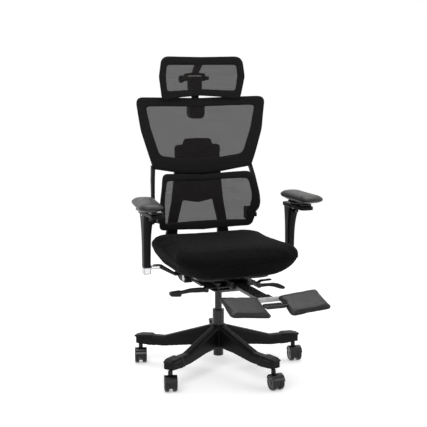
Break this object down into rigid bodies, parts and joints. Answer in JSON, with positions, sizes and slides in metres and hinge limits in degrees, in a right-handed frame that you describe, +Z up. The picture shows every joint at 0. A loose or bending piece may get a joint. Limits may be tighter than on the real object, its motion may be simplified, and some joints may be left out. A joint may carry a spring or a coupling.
{
  "type": "reclining office chair with footrest",
  "caption": "Height-adjustable reclining office chair on castors, with split mesh back, mesh headrest, movable armrests and a pull-out padded footrest.",
  "frame": {"origin": "on the floor, under the gas lift's axis", "axes": "+Z up along the gas lift; the chair faces -Y, so the sitter's right is at -X"},
  "size_m": [0.7481, 0.954, 1.2385],
  "materials": {
    "base_plastic": "satin",
    "frame_plastic": "satin",
    "lever_plastic": "satin",
    "mesh": "woven, see-through",
    "seat_fabric": "woven",
    "soft_pad": "soft satin",
    "foot_leather": "grained",
    "chrome": "polished",
    "black_steel": "powder coated",
    "bright_steel": "turned",
    "grey_tube": "satin",
    "castor_plastic": "gloss"
  },
  "bodies": {
    "base": {"star_base": "base_plastic", "column_tube": "black_steel", "column_bush": "lever_plastic"},
    "castor_1": {"castor_1_body": "castor_plastic"},
    "castor_1_left": {"castor_1_wheel_left": "castor_plastic"},
    "castor_1_right": {"castor_1_wheel_right": "castor_plastic"},
    "castor_2": {"castor_2_body": "castor_plastic"},
    "castor_2_left": {"castor_2_wheel_left": "castor_plastic"},
    "castor_2_right": {"castor_2_wheel_right": "castor_plastic"},
    "castor_3": {"castor_3_body": "castor_plastic"},
    "castor_3_left": {"castor_3_wheel_left": "castor_plastic"},
    "castor_3_right": {"castor_3_wheel_right": "castor_plastic"},
    "castor_4": {"castor_4_body": "castor_plastic"},
    "castor_4_left": {"castor_4_wheel_left": "castor_plastic"},
    "castor_4_right": {"castor_4_wheel_right": "castor_plastic"},
    "castor_5": {"castor_5_body": "castor_plastic"},
    "castor_5_left": {"castor_5_wheel_left": "castor_plastic"},
    "castor_5_right": {"castor_5_wheel_right": "castor_plastic"},
    "column": {"piston_rod": "bright_steel"},
    "lift": {"gas_cylinder": "black_steel", "mechanism_housing": "black_steel", "recline_axle": "bright_steel", "tilt_springs": "bright_steel", "seat_slide_bars": "black_steel"},
    "release_pin": {"release_pin": "bright_steel"},
    "height_lever": {"height_lever": "lever_plastic"},
    "tilt_lever": {"tilt_lever": "lever_plastic"},
    "seat": {"seat_pan": "black_steel", "seat_cushion": "seat_fabric", "footrest_guides": "lever_plastic", "arm_bracket_left": "chrome", "arm_bracket_right": "chrome"},
    "slide_lever": {"slide_lever": "lever_plastic"},
    "arm_right": {"arm_sleeve_right": "frame_plastic"},
    "arm_trigger_right": {"arm_trigger_right": "lever_plastic"},
    "pad_slider_right": {"pad_slider_right": "lever_plastic"},
    "pad_plate_right": {"pad_plate_right": "lever_plastic"},
    "arm_pad_right": {"arm_pad_right": "soft_pad"},
    "arm_left": {"arm_sleeve_left": "frame_plastic"},
    "arm_trigger_left": {"arm_trigger_left": "lever_plastic"},
    "pad_slider_left": {"pad_slider_left": "lever_plastic"},
    "pad_plate_left": {"pad_plate_left": "lever_plastic"},
    "arm_pad_left": {"arm_pad_left": "soft_pad"},
    "back": {"back_yoke": "frame_plastic", "upper_frame": "frame_plastic", "upper_mesh": "mesh", "back_screws": "bright_steel", "side_arms": "frame_plastic", "headrest_bracket": "frame_plastic"},
    "lumbar": {"lower_frame": "frame_plastic", "lower_mesh": "mesh"},
    "headrest_stem": {"headrest_stem": "frame_plastic"},
    "headrest": {"headrest_frame": "frame_plastic", "headrest_carrier": "frame_plastic", "headrest_mesh": "mesh"},
    "footrest": {"footrest_rail": "black_steel", "footrest_tube": "grey_tube"},
    "footrest_pads": {"footrest_frame": "black_steel", "footrest_pad_left": "foot_leather", "footrest_pad_right": "foot_leather"}
  },
  "joints": [
    {"name": "castor_1_swivel", "type": "hinge", "parent": "base", "child": "castor_1", "pos_m": [0.33, 0, 0.085], "axis": [0, 0, 1], "continuous": true},
    {"name": "castor_1_left_roll", "type": "hinge", "parent": "castor_1", "child": "castor_1_left", "pos_m": [0.32791, -0.01989, 0.03], "axis": [0.9945, -0.1045, 0], "continuous": true},
    {"name": "castor_1_right_roll", "type": "hinge", "parent": "castor_1", "child": "castor_1_right", "pos_m": [0.32791, -0.01989, 0.03], "axis": [0.9945, -0.1045, 0], "continuous": true},
    {"name": "castor_2_swivel", "type": "hinge", "parent": "base", "child": "castor_2", "pos_m": [0.10198, 0.31385, 0.085], "axis": [0, 0, 1], "continuous": true},
    {"name": "castor_2_left_roll", "type": "hinge", "parent": "castor_2", "child": "castor_2_left", "pos_m": [0.09198, 0.29653, 0.03], "axis": [0.866, -0.5, 0], "continuous": true},
    {"name": "castor_2_right_roll", "type": "hinge", "parent": "castor_2", "child": "castor_2_right", "pos_m": [0.09198, 0.29653, 0.03], "axis": [0.866, -0.5, 0], "continuous": true},
    {"name": "castor_3_swivel", "type": "hinge", "parent": "base", "child": "castor_3", "pos_m": [-0.26698, 0.19397, 0.085], "axis": [0, 0, 1], "continuous": true},
    {"name": "castor_3_left_roll", "type": "hinge", "parent": "castor_3", "child": "castor_3_left", "pos_m": [-0.27249, 0.17474, 0.03], "axis": [0.9613, -0.2756, 0], "continuous": true},
    {"name": "castor_3_right_roll", "type": "hinge", "parent": "castor_3", "child": "castor_3_right", "pos_m": [-0.27249, 0.17474, 0.03], "axis": [0.9613, -0.2756, 0], "continuous": true},
    {"name": "castor_4_swivel", "type": "hinge", "parent": "base", "child": "castor_4", "pos_m": [-0.26698, -0.19397, 0.085], "axis": [0, 0, 1], "continuous": true},
    {"name": "castor_4_left_roll", "type": "hinge", "parent": "castor_4", "child": "castor_4_left", "pos_m": [-0.27181, -0.21338, 0.03], "axis": [0.9703, -0.2419, 0], "continuous": true},
    {"name": "castor_4_right_roll", "type": "hinge", "parent": "castor_4", "child": "castor_4_right", "pos_m": [-0.27181, -0.21338, 0.03], "axis": [0.9703, -0.2419, 0], "continuous": true},
    {"name": "castor_5_swivel", "type": "hinge", "parent": "base", "child": "castor_5", "pos_m": [0.10198, -0.31385, 0.085], "axis": [0, 0, 1], "continuous": true},
    {"name": "castor_5_left_roll", "type": "hinge", "parent": "castor_5", "child": "castor_5_left", "pos_m": [0.10337, -0.3338, 0.03], "axis": [0.9976, 0.0698, 0], "continuous": true},
    {"name": "castor_5_right_roll", "type": "hinge", "parent": "castor_5", "child": "castor_5_right", "pos_m": [0.10337, -0.3338, 0.03], "axis": [0.9976, 0.0698, 0], "continuous": true},
    {"name": "chair_swivel", "type": "hinge", "parent": "base", "child": "column", "pos_m": [0, 0, 0.06], "axis": [0, 0, 1], "continuous": true},
    {"name": "gas_lift", "type": "slide", "parent": "column", "child": "lift", "axis": [0, 0, 1], "range_m": [-0.06, 0.04]},
    {"name": "release_pin_press", "type": "slide", "parent": "lift", "child": "release_pin", "axis": [0, 0, -1], "range_m": [0, 0.004]},
    {"name": "height_lever_pull", "type": "hinge", "parent": "lift", "child": "height_lever", "pos_m": [-0.108, -0.15, 0.361], "axis": [0, 1, 0], "range_deg": [0, 12], "stiffness_Nm_per_rad": 2, "springref_deg": -5.73},
    {"name": "tilt_lever_pull", "type": "hinge", "parent": "lift", "child": "tilt_lever", "pos_m": [0.108, -0.15, 0.361], "axis": [0, -1, 0], "range_deg": [0, 12], "stiffness_Nm_per_rad": 2, "springref_deg": -5.73},
    {"name": "seat_depth", "type": "slide", "parent": "lift", "child": "seat", "axis": [0, -1, 0], "range_m": [0, 0.05]},
    {"name": "slide_lever_pull", "type": "hinge", "parent": "lift", "child": "slide_lever", "pos_m": [0.108, -0.116, 0.361], "axis": [0, -1, 0], "range_deg": [0, 10], "stiffness_Nm_per_rad": 1, "springref_deg": -5.73},
    {"name": "arm_right_height", "type": "slide", "parent": "seat", "child": "arm_right", "axis": [0, 0, 1], "range_m": [0, 0.07]},
    {"name": "arm_trigger_right_press", "type": "slide", "parent": "arm_right", "child": "arm_trigger_right", "axis": [0, 1, 0], "range_m": [0, 0.004], "stiffness_N_per_m": 400, "springref_m": -0.002},
    {"name": "pad_right_forward", "type": "slide", "parent": "arm_right", "child": "pad_slider_right", "axis": [0, -1, 0], "range_m": [-0.04, 0.02]},
    {"name": "pad_right_outward", "type": "slide", "parent": "pad_slider_right", "child": "pad_plate_right", "axis": [-1, 0, 0], "range_m": [-0.04, 0]},
    {"name": "pad_right_turn", "type": "hinge", "parent": "pad_plate_right", "child": "arm_pad_right", "pos_m": [-0.33, -0.115, 0.676], "axis": [0, 0, 1], "range_deg": [-20, 20]},
    {"name": "arm_left_height", "type": "slide", "parent": "seat", "child": "arm_left", "axis": [0, 0, 1], "range_m": [0, 0.07]},
    {"name": "arm_trigger_left_press", "type": "slide", "parent": "arm_left", "child": "arm_trigger_left", "axis": [0, 1, 0], "range_m": [0, 0.004], "stiffness_N_per_m": 400, "springref_m": -0.002},
    {"name": "pad_left_forward", "type": "slide", "parent": "arm_left", "child": "pad_slider_left", "axis": [0, -1, 0], "range_m": [-0.04, 0.02]},
    {"name": "pad_left_outward", "type": "slide", "parent": "pad_slider_left", "child": "pad_plate_left", "axis": [1, 0, 0], "range_m": [0, 0.038]},
    {"name": "pad_left_turn", "type": "hinge", "parent": "pad_plate_left", "child": "arm_pad_left", "pos_m": [0.294, -0.115, 0.676], "axis": [0, 0, 1], "range_deg": [-20, 20]},
    {"name": "recline", "type": "hinge", "parent": "lift", "child": "back", "pos_m": [0, 0.09, 0.358], "axis": [-1, 0, 0], "range_deg": [0, 35]},
    {"name": "lumbar_rock", "type": "hinge", "parent": "back", "child": "lumbar", "pos_m": [0, 0.176, 0.596], "axis": [1, 0, 0], "range_deg": [-4, 4], "stiffness_Nm_per_rad": 60},
    {"name": "headrest_height", "type": "slide", "parent": "back", "child": "headrest_stem", "axis": [0, 0, 1], "range_m": [0, 0.045]},
    {"name": "headrest_tilt", "type": "hinge", "parent": "headrest_stem", "child": "headrest", "pos_m": [0, 0.278, 1.15], "axis": [-1, 0, 0], "range_deg": [0, 30]},
    {"name": "footrest_pull", "type": "slide", "parent": "seat", "child": "footrest", "axis": [0, 1, 0], "range_m": [0, 0.18]},
    {"name": "footrest_flip", "type": "hinge", "parent": "footrest", "child": "footrest_pads", "pos_m": [0, -0.47, 0.3865], "axis": [1, 0, 0], "range_deg": [0, 140]}
  ],
  "couplings": [
    {"joint": "release_pin_press", "follows": "height_lever_pull", "m_per_rad": 0.019}
  ]
}
